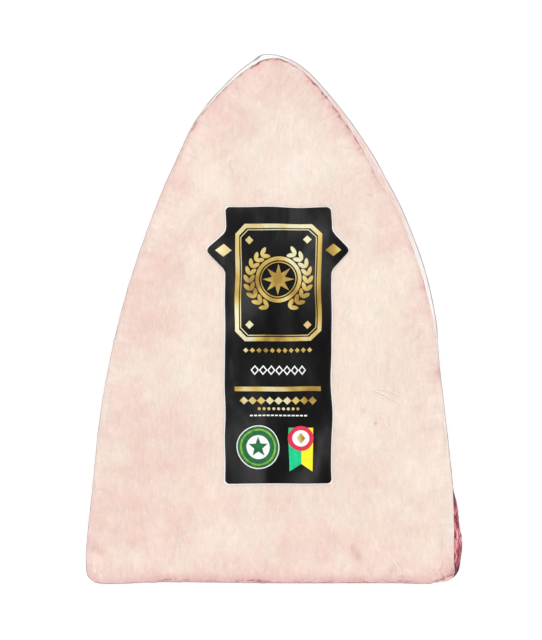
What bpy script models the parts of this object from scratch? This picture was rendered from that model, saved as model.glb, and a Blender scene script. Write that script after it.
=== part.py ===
"""Whole raw picanha (rump cap) in a clear, skin-tight vacuum bag with a die-cut black label.

It lies on its lean side with the fat cap up. The frame is metres with +Z up: +Y runs from the
broad cut end to the tip, and the origin is under the middle of the whole, on the resting plane.
Plan sizes below are millimetres from that origin, seen from above.
"""

import bmesh
import bpy
import numpy as np

MM = 0.001

# Plan outline of the fat cap, anticlockwise from the middle of the cut end.
FAT_OUTLINE = (
    (0.0, -134.4), (60.0, -134.4), (80.5, -134.2), (87.4, -132.2), (90.6, -127.0),
    (91.3, -114.0), (90.3, -76.8), (84.7, -27.8), (81.8, -4.4), (74.2, 25.2),
    (62.4, 55.8), (53.2, 71.1), (45.0, 86.4), (27.5, 113.0), (13.3, 127.2),
    (5.8, 131.8), (0.5, 133.2), (-4.8, 132.6), (-9.7, 130.4), (-20.9, 122.1),
    (-31.1, 111.9), (-40.3, 100.7), (-49.5, 82.4), (-60.2, 57.9), (-76.5, 8.9),
    (-87.2, -40.0), (-92.8, -89.0), (-96.1, -124.0), (-95.0, -131.2), (-90.0, -134.6),
    (-81.0, -135.0), (-60.0, -134.1),
)
# Where its four sides meet: cut end and right side, right side and tip, and so on round.
CORNERS = ((-92.6, -132.2), (89.0, -129.0), (14.5, 126.5), (-14.5, 127.2))
# Free edge of the film, which stands off the fat round the tip and down the right side.
FILM_EDGE = (
    (-47.0, 87.0), (-32.6, 111.9), (-17.3, 127.2), (-9.7, 132.9), (-4.0, 134.6),
    (1.5, 134.6), (13.3, 129.3), (30.1, 111.9), (48.5, 86.4), (57.1, 71.1),
    (65.0, 55.8), (76.6, 25.2), (82.5, -1.3),
)

# Thickness of the whole, with a crown that falls away to the rim.
MAX_THICKNESS = 46.0
THICKEST_Y = -80.0
CUT_END_Y = -135.0
TIP_Y = 133.0
TIP_DROP = 28.0
CUT_END_DROP = 5.0
EDGE_FALL = 0.20        # share of the thickness
EDGE_REACH = 15.0
FAT_SHARE = 0.27        # of the thickness
GAP = 0.3               # between pieces that touch

# Broad swells of the surface: height, waves per metre along X and Y, and phase.
SWELLS = ((0.55, 13.0, 7.0, 0.6), (0.40, -9.0, 16.0, 2.1), (0.30, 24.0, 11.0, 4.0), (0.22, 6.0, -31.0, 1.3))

# Rims from the underside up: how far in from the outline, and share of the piece's height.
LEAN_RIM = ((22.0, 0.0), (14.0, 0.0), (7.0, 0.04), (2.0, 0.20), (-0.1, 0.50), (-0.1, 0.80), (0.9, 0.98), (7.0, 1.0))
FAT_RIM = ((8.0, 0.0), (1.2, 0.0), (-0.1, 0.20), (-0.1, 0.48), (1.0, 0.78), (3.6, 0.96), (10.0, 1.0))
LEAN_TUCK = 1.0         # the lean lies this far inside the fat's edge
LEAN_BULGE = 7.6        # and swells out beyond it near the right end of the cut
BULGE_Y = -118.0
BULGE_SPREAD = 16.0
BUNDLE_DEPTH = 0.5      # muscle bundles that ripple the lean's side
BUNDLES_ROUND = 11

# Stations of the cages: across the ends and along the sides.
ACROSS = 10
ALONG = 17
CORNER_PULL = 34.0      # millimetres of edge that one radian of turn counts for
SPINE_X = -1.0
SPINE_ENDS = (-62.0, 108.0)

# Label, stuck on the film over the fat.
LABEL_CENTRE = (2.2, -13.1)
LABEL_HEIGHT = 140.4
LABEL_WIDTH = 54.2
EAR_WIDTH = 72.6        # over the two side points
EAR_FOOT, EAR_POINT, EAR_TOP = 38.2, 48.3, 56.3   # above the label's centre
LABEL_CORNER = 1.8
LABEL_THICKNESS = 0.4
LABEL_COLUMNS = 8
ROW_PITCH = 7.0

FILM_THICKNESS = 0.5
FILM_LEAST = 0.4
FILM_STATIONS = 60
FILM_SHARE = 0.30       # its height on the fat's side, as a share of the fat


def clear_scene():
    """Removes the startup objects, so that only the part is left."""
    for obj in list(bpy.data.objects):
        bpy.data.objects.remove(obj, do_unlink=True)


def spline(points, closed, steps=24):
    """Centripetal Catmull-Rom curve through points, as an array with steps to each span."""
    knots = np.array(points, float)
    if closed:
        knots = np.vstack((knots[-1], knots, knots[:2]))
    else:
        knots = np.vstack((2 * knots[0] - knots[1], knots, 2 * knots[-1] - knots[-2]))
    curve = []
    for a, b, c, d in zip(knots, knots[1:], knots[2:], knots[3:]):
        ta = 0.0
        tb = ta + np.sqrt(np.linalg.norm(b - a))
        tc = tb + np.sqrt(np.linalg.norm(c - b))
        td = tc + np.sqrt(np.linalg.norm(d - c))
        t = np.linspace(tb, tc, steps, endpoint=False)[:, None]
        ab = (tb - t) / (tb - ta) * a + (t - ta) / (tb - ta) * b
        bc = (tc - t) / (tc - tb) * b + (t - tb) / (tc - tb) * c
        cd = (td - t) / (td - tc) * c + (t - tc) / (td - tc) * d
        abc = (tc - t) / (tc - ta) * ab + (t - ta) / (tc - ta) * bc
        bcd = (td - t) / (td - tb) * bc + (t - tb) / (td - tb) * cd
        curve.append((tc - t) / (tc - tb) * abc + (t - tb) / (tc - tb) * bcd)
    if not closed:
        curve.append(knots[-2][None])
    return np.vstack(curve)


def stations(path, count):
    """count points from the path's start up to its end, closer together where it turns."""
    step = np.diff(path, axis=0)
    length = np.linalg.norm(step, axis=1)
    heading = np.unwrap(np.arctan2(step[:, 1], step[:, 0]))
    turn = np.abs(np.diff(heading, prepend=heading[0]))
    travelled = np.concatenate(([0.0], np.cumsum(length + CORNER_PULL * turn)))
    wanted = np.linspace(0.0, travelled[-1], count, endpoint=False)
    return np.column_stack([np.interp(wanted, travelled, path[:, k]) for k in (0, 1)])


def outline_loop(outline):
    """The outline as ACROSS + ALONG + ACROSS + ALONG stations from the first of CORNERS."""
    marks = [int(np.argmin(np.linalg.norm(outline - corner, axis=1))) for corner in CORNERS]
    sides = []
    for mark, following, count in zip(marks, marks[1:] + marks[:1], (ACROSS, ALONG, ACROSS, ALONG)):
        span = (following - mark) % len(outline)
        path = outline[(mark + np.arange(span + 1)) % len(outline)]
        sides.append(stations(path, count))
    return np.vstack(sides)


def tightened(loop):
    """The loop with its turns drawn out by as much as one level of subdivision pulls them in."""
    return loop + (2 * loop - np.roll(loop, 1, axis=0) - np.roll(loop, -1, axis=0)) / 8


def outward(loop):
    """Unit normals of a closed anticlockwise loop, pointing out."""
    along = np.roll(loop, -1, axis=0) - np.roll(loop, 1, axis=0)
    along /= np.linalg.norm(along, axis=1)[:, None]
    return np.column_stack((along[:, 1], -along[:, 0]))


def inset(loop, depth):
    """The loop moved in by depth, measured square to its edge, along lines that meet on the spine."""
    low, high = SPINE_ENDS
    share = np.clip((loop[:, 1] - CUT_END_Y) / (TIP_Y - CUT_END_Y), 0.0, 1.0)
    goal = np.column_stack((np.full(len(loop), SPINE_X), low + (high - low) * share ** 2 * (3 - 2 * share)))
    inward = goal - loop
    inward /= np.linalg.norm(inward, axis=1)[:, None]
    square = np.maximum(-(inward * outward(loop)).sum(axis=1), 0.5)
    return loop + inward * (depth / square)[:, None]


def rim_distance(points, outline):
    """Smooth distance in from the outline: true near the edge, rounded off along the middle."""
    ends = np.roll(outline, -1, axis=0)
    middle = (outline + ends) / 2
    length = np.linalg.norm(ends - outline, axis=1)
    apart = ((points[:, None, :] - middle[None]) ** 2).sum(axis=2) + 1e-6
    return (2 / np.pi * (length / apart ** 2).sum(axis=1)) ** (-1 / 3)


def thickness(y):
    """Thickness on the middle line, at its most a little way in from the cut end."""
    to_tip = np.clip((y - THICKEST_Y) / (TIP_Y - THICKEST_Y), 0.0, 1.0)
    to_cut = np.clip((THICKEST_Y - y) / (THICKEST_Y - CUT_END_Y), 0.0, 1.0)
    return MAX_THICKNESS - TIP_DROP * to_tip ** 2 - CUT_END_DROP * to_cut ** 2


def top_height(points, outline):
    """Height of the fat's upper face over plan points."""
    x, y = points.T
    rise = sum(
        height * np.sin(2 * np.pi * MM * (across * x + along * y) + phase)
        for height, across, along, phase in SWELLS
    )
    fall = EDGE_FALL * np.exp(-rim_distance(points, outline) / EDGE_REACH)
    return thickness(y) * (1 - fall) + rise


def seam_height(points, outline):
    """Height of the seam between lean and fat over plan points."""
    return top_height(points, outline) - FAT_SHARE * thickness(points[:, 1])


def coons(loop):
    """Grid of plan points that fills the loop, ALONG + 1 rows of ACROSS + 1."""
    turn = np.vstack((loop, loop[:1]))
    cut_end = turn[: ACROSS + 1]
    right = turn[ACROSS : ACROSS + ALONG + 1]
    tip = turn[ACROSS + ALONG : 2 * ACROSS + ALONG + 1][::-1]
    left = turn[2 * ACROSS + ALONG :][::-1]
    u = np.linspace(0, 1, ACROSS + 1)[None, :, None]
    v = np.linspace(0, 1, ALONG + 1)[:, None, None]
    ends = (1 - v) * cut_end[None] + v * tip[None]
    sides = (1 - u) * left[:, None] + u * right[:, None]
    corners = (1 - v) * ((1 - u) * left[0] + u * right[0]) + v * ((1 - u) * left[-1] + u * right[-1])
    return ends + sides - corners


def add_cap(bm, ring, loop, height, facing_up):
    """Closes the ring of vertices with a grid of quads whose inner points lie at height(points)."""
    grid = coons(loop)
    rows, columns = grid.shape[:2]
    place = {}
    for k in range(ACROSS):
        place[0, k] = ring[k]
        place[rows - 1, columns - 1 - k] = ring[ACROSS + ALONG + k]
    for k in range(ALONG):
        place[k, columns - 1] = ring[ACROSS + k]
        place[rows - 1 - k, 0] = ring[2 * ACROSS + ALONG + k]
    inner = grid[1:-1, 1:-1].reshape(-1, 2)
    for (x, y), z, where in zip(inner, height(inner), np.ndindex(rows - 2, columns - 2)):
        place[where[0] + 1, where[1] + 1] = bm.verts.new((x * MM, y * MM, z * MM))
    for r, c in np.ndindex(rows - 1, columns - 1):
        quad = (place[r, c], place[r, c + 1], place[r + 1, c + 1], place[r + 1, c])
        bm.faces.new(quad if facing_up else quad[::-1])


def lofted(name, loops, heights, floor, roof):
    """A closed body through rings at loops and heights, capped by the surfaces floor and roof."""
    bm = bmesh.new()
    rings = [
        [bm.verts.new((x * MM, y * MM, z * MM)) for (x, y), z in zip(loop, height)]
        for loop, height in zip(loops, heights)
    ]
    for lower, upper in zip(rings, rings[1:]):
        for k in range(len(lower)):
            following = (k + 1) % len(lower)
            bm.faces.new((lower[k], lower[following], upper[following], upper[k]))
    add_cap(bm, rings[0], loops[0], floor, facing_up=False)
    add_cap(bm, rings[-1], loops[-1], roof, facing_up=True)
    obj = new_object(name, bm)
    subdivision = obj.modifiers.new("Soft form", "SUBSURF")
    subdivision.levels = 1
    subdivision.render_levels = 1
    return obj


def new_object(name, bm):
    """A smooth-shaded object in the part's collection, from a bmesh."""
    mesh = bpy.data.meshes.new(name)
    bm.to_mesh(mesh)
    bm.free()
    mesh.shade_smooth()
    obj = bpy.data.objects.new(name, mesh)
    part_collection().objects.link(obj)
    return obj


def part_collection():
    """The collection that holds the pieces."""
    name = "vacuum_packed_picanha"
    found = bpy.data.collections.get(name)
    if found is None:
        found = bpy.data.collections.new(name)
        bpy.context.scene.collection.children.link(found)
    return found


def finish(obj, colour, roughness, metallic=0.0, alpha=1.0):
    """Gives the object its own Principled material."""
    material = bpy.data.materials.new(obj.name)
    material.use_nodes = True
    shader = material.node_tree.nodes["Principled BSDF"]
    shader.inputs["Base Color"].default_value = (*colour, 1.0)
    shader.inputs["Roughness"].default_value = roughness
    shader.inputs["Metallic"].default_value = metallic
    shader.inputs["Alpha"].default_value = alpha
    obj.data.materials.append(material)


def make_fat_cap(loop, outline):
    """The layer of fat, from the seam up to the crowned face, round-edged all the way."""
    loops = [tightened(inset(loop, depth)) for depth, _ in FAT_RIM]
    heights = []
    for ring, (_, share) in zip(loops, FAT_RIM):
        under = seam_height(ring, outline) + GAP
        heights.append(under + share * (top_height(ring, outline) - under))
    fat = lofted(
        "fat_cap", loops, heights,
        floor=lambda p: seam_height(p, outline) + GAP,
        roof=lambda p: top_height(p, outline),
    )
    finish(fat, colour=(0.90, 0.74, 0.64), roughness=0.35)
    return fat


def make_lean(loop, outline):
    """The muscle under the fat, flat where it rests, with a belly that swells out at the right."""
    normal = outward(loop)
    spread = np.exp(-0.5 * ((loop[:, 1] - BULGE_Y) / BULGE_SPREAD) ** 2)
    bulge = LEAN_BULGE * spread * np.maximum(normal[:, 0], 0.0)
    round_trip = 2 * np.pi * np.arange(len(loop)) / len(loop)
    loops, heights = [], []
    for depth, share in LEAN_RIM:
        belly = np.sin(np.pi * share)
        bundles = BUNDLE_DEPTH * np.sin(BUNDLES_ROUND * round_trip + 3.0 * share)
        out = belly * (bulge + bundles)
        ring = tightened(inset(loop, LEAN_TUCK + depth) + normal * out[:, None])
        loops.append(ring)
        heights.append(share * seam_height(ring, outline))
    lean = lofted(
        "lean", loops, heights,
        floor=lambda p: np.zeros(len(p)),
        roof=lambda p: seam_height(p, outline),
    )
    finish(lean, colour=(0.28, 0.04, 0.05), roughness=0.35)


def make_film_margin(outline):
    """The strip of clear film that stands off the fat round the tip, as thin as a fold of the bag."""
    edge = stations(spline(FILM_EDGE, closed=False), FILM_STATIONS)
    normal = outward(outline)
    nearest = [int(np.argmin(np.linalg.norm(outline - point, axis=1))) for point in edge]
    foot = outline[nearest]
    out = normal[nearest]
    reach = np.maximum(((edge - foot) * out).sum(axis=1), GAP + FILM_LEAST)
    inner = foot + out * GAP
    outer = foot + out * reach[:, None]
    under = seam_height(foot, outline)
    level = under + FILM_SHARE * (top_height(foot, outline) - under)
    bm = bmesh.new()
    rails = [
        [bm.verts.new((x * MM, y * MM, z * MM)) for (x, y), z in zip(rail, level)]
        for rail in (inner, outer)
    ]
    for k in range(len(edge) - 1):
        bm.faces.new((rails[0][k], rails[0][k + 1], rails[1][k + 1], rails[1][k]))
    film = new_object("film_margin", bm)
    solidify = film.modifiers.new("Fold of film", "SOLIDIFY")
    solidify.thickness = FILM_THICKNESS * MM
    solidify.offset = 0.0
    finish(film, colour=(0.92, 0.93, 0.94), roughness=0.1, alpha=0.35)


def label_half_width(height):
    """Half the label's width at a height above its centre, with its points and round corners."""
    body = LABEL_WIDTH / 2
    ear = EAR_WIDTH / 2
    wide = np.interp(height, (EAR_FOOT, EAR_POINT, EAR_TOP), (body, ear, body))
    to_end = LABEL_HEIGHT / 2 - abs(height)
    inside = max(LABEL_CORNER - to_end, 0.0)
    return wide - (LABEL_CORNER - np.sqrt(max(LABEL_CORNER ** 2 - inside ** 2, 0.0)))


def label_rows():
    """Heights of the label's rows: its corners' arcs, its points, and even steps between."""
    end = LABEL_HEIGHT / 2
    arc = [end - LABEL_CORNER * (1 - np.sin(a)) for a in np.linspace(0, np.pi / 2, 4)]
    marks = [-h for h in reversed(arc)] + [EAR_FOOT, EAR_POINT, EAR_TOP] + arc
    rows = []
    for low, high in zip(marks, marks[1:]):
        pieces = max(1, round((high - low) / ROW_PITCH))
        rows.extend(np.linspace(low, high, pieces, endpoint=False))
    return np.array(rows + [end])


def make_label(fat):
    """The die-cut label, a flat sheet dropped onto the fat's upper face."""
    above = (MAX_THICKNESS + 10.0) * MM
    across = np.linspace(-1, 1, LABEL_COLUMNS + 1)
    bm = bmesh.new()
    sheet = []
    for height in label_rows():
        x = (LABEL_CENTRE[0] + across * label_half_width(height)) * MM
        y = (LABEL_CENTRE[1] + height) * MM
        sheet.append([bm.verts.new((place, y, above)) for place in x])
    for lower, upper in zip(sheet, sheet[1:]):
        for k in range(LABEL_COLUMNS):
            bm.faces.new((lower[k], lower[k + 1], upper[k + 1], upper[k]))
    label = new_object("label", bm)
    drape = label.modifiers.new("Laid on the fat", "SHRINKWRAP")
    drape.target = fat
    drape.wrap_method = "PROJECT"
    drape.use_project_z = True
    drape.use_positive_direction = False
    drape.use_negative_direction = True
    drape.offset = GAP * MM
    solidify = label.modifiers.new("Label stock", "SOLIDIFY")
    solidify.thickness = LABEL_THICKNESS * MM
    solidify.offset = 1.0
    finish(label, colour=(0.02, 0.02, 0.02), roughness=0.3)


def main():
    clear_scene()
    outline = spline(FAT_OUTLINE, closed=True)
    loop = outline_loop(outline)
    make_lean(loop, outline)
    fat = make_fat_cap(loop, outline)
    make_film_margin(outline)
    make_label(fat)


main()
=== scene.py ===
"""Looks of the vacuum-packed picanha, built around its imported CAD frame.

Plan sizes are millimetres along the frame's axes, as in the CAD source: +Y to the tip, +Z up
out of the fat. Arrays of points stay in millimetres until new_piece() makes them metres. The
form is the CAD source's, but its outline keeps closer to the photographed edge.
"""

import bpy
import numpy as np
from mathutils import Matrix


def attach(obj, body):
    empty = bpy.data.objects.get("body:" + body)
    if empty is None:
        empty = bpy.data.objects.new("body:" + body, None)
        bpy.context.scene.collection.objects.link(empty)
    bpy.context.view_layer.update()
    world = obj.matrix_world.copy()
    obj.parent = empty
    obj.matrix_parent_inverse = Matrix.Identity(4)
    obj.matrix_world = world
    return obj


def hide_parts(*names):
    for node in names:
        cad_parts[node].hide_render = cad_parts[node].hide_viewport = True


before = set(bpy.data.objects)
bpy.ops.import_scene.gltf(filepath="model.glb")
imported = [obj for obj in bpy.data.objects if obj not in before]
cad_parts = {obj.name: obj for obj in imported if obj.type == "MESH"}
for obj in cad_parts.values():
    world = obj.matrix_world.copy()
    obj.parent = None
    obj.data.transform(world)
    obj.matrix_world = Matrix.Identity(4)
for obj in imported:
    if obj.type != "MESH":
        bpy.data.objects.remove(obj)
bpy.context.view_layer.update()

MM = 0.001
BODY = "root"

# Form of the pack.
FAT_OUTLINE = (
    (0, -134.28), (60, -134.28), (80.5, -134.3), (87.8, -132.5), (90.6, -127), (91.1, -114),
    (90.9, -89), (89.9, -76.8), (84.3, -27.8), (81.6, -4.4), (74.2, 25.2), (62.4, 55.8),
    (53.2, 71.1), (45, 86.4), (27.5, 113), (13.3, 127.2), (5.8, 131.8), (0.5, 133.2),
    (-4.8, 132.6), (-9.7, 130.4), (-20.9, 122.1), (-31.1, 111.9), (-40.3, 100.7),
    (-49.2, 82.4), (-59.9, 57.9), (-76.4, 8.9), (-87.15, -40), (-92.75, -89), (-95.8, -124),
    (-94.6, -131), (-90, -134.2), (-81, -134.6), (-60, -133.8),
)
CORNERS = ((-92.6, -132.2), (89, -129), (14.5, 126.5), (-14.5, 127.2))
FILM_EDGE = (
    (-46.8, 87), (-39.6, 102), (-32.4, 111.8), (-17.2, 127.1), (-9.6, 132.6), (-6.9, 134.5),
    (-5.9, 134.9), (1.5, 134.6), (13.3, 129.3), (30.1, 111.9), (48.5, 86.4), (57.1, 71.1),
    (65, 55.8), (76.6, 25.2), (82.4, -1.3), (83, -8), (83.5, -15.6),
)
MAX_THICKNESS = 46.0
THICKEST_Y = -80.0
CUT_END_Y = -135.0
TIP_Y = 133.0
TIP_DROP = 28.0
CUT_END_DROP = 5.0
EDGE_FALL = 0.20        # the fat is this share lower at its edge
EDGE_REACH = 15.0
FAT_SHARE = 0.27
GAP = 0.3               # between lean and fat
# Broad swells of the upper face: height, waves to the metre across and along, and phase.
SWELLS = ((0.55, 13, 7, 0.6), (0.40, -9, 16, 2.1), (0.30, 24, 11, 4.0), (0.22, 6, -31, 1.3))
# Rounded sides from below to above: depth in from the outline, and share of the height.
OUTERMOST = 0.48        # share at which the fat stands out furthest
FAT_RIM = ((8, 0), (1.4, 0), (0.1, 0.20), (0, OUTERMOST), (0.5, 0.80), (1.8, 0.95), (6, 1))
LEAN_RIM = ((22, 0), (14, 0), (7, 0.04), (2, 0.20), (0, 0.50), (0, 0.80), (1, 0.97), (7, 1))
ROUNDED_BY = 4.0        # the fat's side has turned into its face at this depth
LEAN_TUCK = 1.0
LEAN_BULGE = 5.6
BULGE_Y = -117.0
BULGE_SPREADS = (13.0, 17.5)   # towards the cut end and towards the tip
# Where fat and lean swell out at the right: place, reach and height.
FAT_SWELLS = ((90, -130, 4.5, 1.8), (91.3, -111, 11, 0.3))
LEAN_SWELLS = ((91, -91.5, 4, 0.5), (91.5, -129.5, 4, 0.9))
SPINE_X = -1.0
SPINE_ENDS = (-62.0, 108.0)

# Fineness of the meshes: stations across the ends and along the sides, and rings up a side.
ACROSS = 180
ALONG = 270
CORNER_PULL = 34.0      # length that one radian of turn counts for, to crowd the stations there
FAT_RINGS = 18
LEAN_RINGS = 22
FILM_LEAN_RINGS = 18
HIDDEN_RINGS = (0.25, 0.5, 0.75, 0.95)   # of the way to the spine, where lean and fat meet
HIDDEN_RUN = -6.0
FAT_HEIGHT = 12.0       # of a typical side, to space the rings by
LEAN_HEIGHT = 27.0

# Layers over the meat.
UNDER_FILM = 0.25       # the lean stands this far above the film's underside
FILM_OFFSET = 0.22
FILM_SHARE = 0.30       # share of the fat's height at which the free film stands off
FILM_ROOM = 0.06        # share of it kept free above and below that
LEAN_COVERED = 0.93     # the film follows the lean's side up to this share of its height
FAT_COVERED = (0.05, 1.2)   # and the fat's from this share of its height, once it is less deep than this
FLANGE_THICKNESS = 0.16
FLANGE_SMEAR = (1.0, 0.9, 0.4, 0.3, 0.4, 0.9, 1.0)   # strength of a smear on each of its rings
LEAST_REACH = 0.25
CORE_OFFSET = 0.26      # underside of the label's paper core above the fat
CORE_THICKNESS = 0.12
CORE_MARGIN = 0.50      # the core shows this far round the black face
LABEL_OFFSET = 0.40
LABEL_THICKNESS = 0.22
PRINT_LIFT = 0.03       # each ink's face above the one under it
PRINT_THICKNESS = 0.03

# The film's folded edge.
RIM_BEAD = 0.21         # its radius where it is free
SIDE_BEAD, CUT_BEAD = 0.12, 0.19   # and where it lies against the fat: along the sides and at the cut end
BEAD_FROM = 0.32        # it counts as free where it reaches out further than this
BEAD_START_Y = -87.0    # it starts on the right side above the lean, and ends on the cut end below it
BEAD_END_X = 84.0
BEAD_TAPERS = (8.0, 6.0)   # length over which it thins out at its start and its end
BEAD_TIP = 0.15         # of its radius left there
BEAD_SINK = 0.6         # of its radius by which it sinks into the fat
BEAD_SIDES = 8
# Where it is thicker: place, reach and growth of its radius.
BEAD_SWELLS = ((-8.8, 133.2, 2.2, 0.42), (85.5, -38, 20, 0.04), (90, -76, 14, 0.06))

# Folds of the film that show on the fat: ends, width and strength, below 0 where only the shade shows.
FOLDS = (
    (45.4, -35, 66.3, -45.1, 1.8, 1), (52, -35.5, 67.5, -41.5, 1.4, 0.7),
    (45.4, -19.1, 54, -29.3, 1.6, 0.5), (55.6, -118, 65.3, -131.4, 1.8, 0.8),
    (38.8, 12.5, 34.2, -1.2, 3, 0.6), (55, 7.4, 50, -1.3, 2.4, 0.6),
    (51, -10.5, 51.3, -16.6, 1.4, 0.7), (2.5, 102.8, 1.5, 94, 2.4, 0.9),
    (-23.5, 81.4, -21.4, 74.3, 2.8, 0.7), (9.2, 104.3, 10.2, 97.2, 1.6, 0.6),
    (84.9, -52, 86.4, -72, 1.6, 0.6), (-48, -104.8, -55.6, -129, 2, 0.6),
    (-44, -103, -49, -118, 1.4, 0.5), (24, 82, 31, 68, 2, 0.25),
    (-9, -96, -10, -104, 1.4, 0.6), (28.5, -98, 29.5, -106, 1.4, 0.6),
    (-30, -119, -33, -131, 1.4, 0.5), (65.5, -130, 65.6, -134.2, 0.9, -2.4),
    (-4, -122, -6, -132, 1.4, 0.5), (10, -121, 13, -132, 1.3, 0.5),
    (36, -122, 33, -132, 1.3, 0.5), (-70, -60, -67, -72, 1.6, 0.3),
    (-82, -66, -80.5, -80, 1.6, 0.4), (12, 70, 11, 62, 1.6, 0.35), (-58, 6, -61, -8, 1.6, 0.3),
)
FOLD_STEPS = 17
FOLD_BOW = 0.06         # how far a crease bows aside, as a share of its length
FOLD_LIFT = 0.02
FOLD_THICKNESS = 0.05
# Across a crease: place and rise in its widths, and tone from milky to shaded.
FOLD_PROFILE = ((-0.65, 0, 0), (-0.2, 0.06, 1), (0.2, 0.06, 0), (0.35, 0.03, -1), (0.5, 0, 0))
FOLD_SPACING = 11.0     # least distance between the middles of the seeded ones and any other

# The label, and the centres of what is printed on it.
LABEL_CENTRE = (2.0, -13.3)
LABEL_HEIGHT = 140.4
LABEL_WIDTH = 54.2
LABEL_CORNER = 2.2
EAR_WIDTH = 72.6
EAR_HEIGHTS = (38.2, 48.3, 57.6)   # foot, point and top above the label's centre
EAR_BLUNTING = 2.6      # its corners are rounded over this height
EAR_ALLOWANCE = 0.9     # which takes this much off its points
EMBLEM = (0.0, 33.5)
SEAL = (-10.2, -51.8)
ROSETTE = (11.5, -47.4)

# Zones where the fat is pinker, or creamier below 0: place, reach and strength.
FLUSH_ZONES = (
    (-62, 20, 22, 0.34), (-60, -60, 20, 0.34), (-82, -50, 14, 0.20), (-78, -108, 20, 0.34),
    (-30, -118, 20, 0.22), (20, -120, 20, 0.22), (50, -118, 12, 0.12), (80, -128, 10, 0.30),
    (-26, 100, 18, 0.30), (0, 122, 18, 0.26), (30, 104, 12, 0.22), (68, 40, 10, 0.26),
    (78, 8, 9, 0.22), (85, -28, 8, 0.22), (-56, 60, 14, 0.14), (14, 84, 30, -0.44),
    (46, 6, 26, -0.30), (52, -50, 24, -0.34), (78, -78, 16, -0.30), (-34, 4, 12, -0.22),
    (-64, -26, 10, -0.14), (24, -100, 14, -0.10), (-20, -134, 9, 0.18), (16, -134, 9, 0.18),
    (-62, 0, 14, 0.10), (-50, -40, 10, 0.12), (-69, 4, 9, 0.20), (-57, -26, 10, 0.20),
    (-57, -56, 9, 0.16), (-81, -41, 8, 0.16), (-76, -110, 14, 0.18), (-14, -117, 10, 0.20),
    (28, -87, 10, 0.20), (29, 108, 10, 0.24), (8, 112, 9, 0.16), (29, 97, 8, 0.16),
    (55, 36, 9, 0.16), (-58, -26, 9, 0.18), (-66, -8, 10, 0.16), (-62, -126, 14, 0.20),
    (-2, -88, 12, 0.14), (-80, -60, 10, 0.14), (-57, -102, 8, -0.20), (-69, -87, 8, -0.18),
    (41, -56, 9, -0.20), (77, 5, 7, -0.18), (10, 66, 16, -0.18), (89, -72, 9, -0.30),
    (90, -90, 8, -0.35), (91, -108, 8, -0.30), (89, -129, 4.5, 0.45), (83, -22, 8, -0.20),
    (86, -42, 9, -0.30), (88.5, -60, 9, -0.30), (-46, -22, 18, -0.22), (44, 14, 12, -0.18),
)
# Small brownish pink spots on the fat's face: place, radius and strength.
SPOTS = (
    (-91.3, -116.5, 2.2, 0.8), (-88, -118.3, 2, 0.5), (-72.4, -115, 2.2, 0.4), (39.6, -115.6, 1.7, 0.8),
    (41.2, -118.2, 1.7, 1.1), (42.4, -121, 1.7, 0.8), (60, -128, 2.5, 0.6), (45.2, -46.7, 0.9, 2),
    (51.5, -53, 0.8, 1.2), (83, -27, 1.2, 1.3), (79, 4, 2.6, 0.35),
)
# Blood caught along the rim: place, reach and strength.
RIM_BLOOD = (
    (17, 123, 4, 1.1), (22, 119, 5, 1.3), (26, 113.5, 2.2, 1.6), (29.5, 108.5, 3.5, 1.2),
    (32.5, 105, 2.5, 1), (34, 102.5, 2, 1.9), (36.5, 98.5, 1.6, 1.5), (43, 90, 7, 2),
    (52, 73, 5, 0.5), (-7, 130.8, 3, 2), (3, 132, 2.5, 1.3), (-39.8, 98.2, 2.5, 1),
    (-47, 86, 3, 0.5), (72, 36, 3, 0.9), (76.5, 18, 4, 0.8), (82, -8, 3, 0.5),
    (84, -28, 4, 0.6), (-12, -134, 16, 1.2), (20, -134, 12, 1), (-50, -134, 12, 1.1),
    (44, -134, 9, 0.9), (66, -134, 9, 1), (82, -133, 5, 0.9), (87, -131.5, 4.5, 1.6),
)
# Where the dark line of the rim runs further in from the edge: place, reach and millimetres.
LINE_SHIFTS = (
    (30, 108, 14, 0.8), (43, 90, 9, -0.5), (92, -98, 9, -1.6), (92, -114, 10, -1.6), (87, -131.5, 5, 1.1),
)
# Where the painted shade line along the film's contact with the fat shows more: place, reach and share.
EDGE_SHADE_TONES = (
    (-8, 131, 12, 0.8), (-22, 119, 10, 0.6), (-32, 109, 9, 0.4), (10, 128, 11, 0.8),
    (22, 119, 10, 0.5), (-40, 99, 8, 0.3), (84.5, -28, 24, -0.25), (90, -78, 24, -0.25),
)
EDGE_SHADE_TONE = 0.22        # elsewhere
# Free film smeared with fat on its inner side: place, reach and strength.
MARGIN_SMEARS = (
    (14, 126, 10, 1.3), (30, 110, 14, 1.3), (45, 88, 14, 1.2), (60, 62, 14, 1.5), (70, 40, 10, 0.5),
    (77, 22, 8, 0.2), (82, -3, 5, 0.7),
)
# Blood that has run together beside the lean: place, reach and strength.
PURGE_POOLS = ((90.5, -90, 5, 1), (92.4, -129, 3.6, 1.4))

# What changes close to the cut end starts at the first distance towards it and is full at the second.
BASE_FLUSH, FLUSHED = 0.16, (122, 133)   # pinker fat
STAINED = (118, 132)    # the fat's cut edge
CUT_BEADED = (120, 132)
CUT_FACE = (122, 131)   # the lean, but not its bulge at the right
CUT_FACE_RIGHT = (70, 84)   # X over which it gives way to that bulge
STRIP_X, STRIP_Y = (78, 88), (60, 84)    # the strip of lean that shows from above

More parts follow.
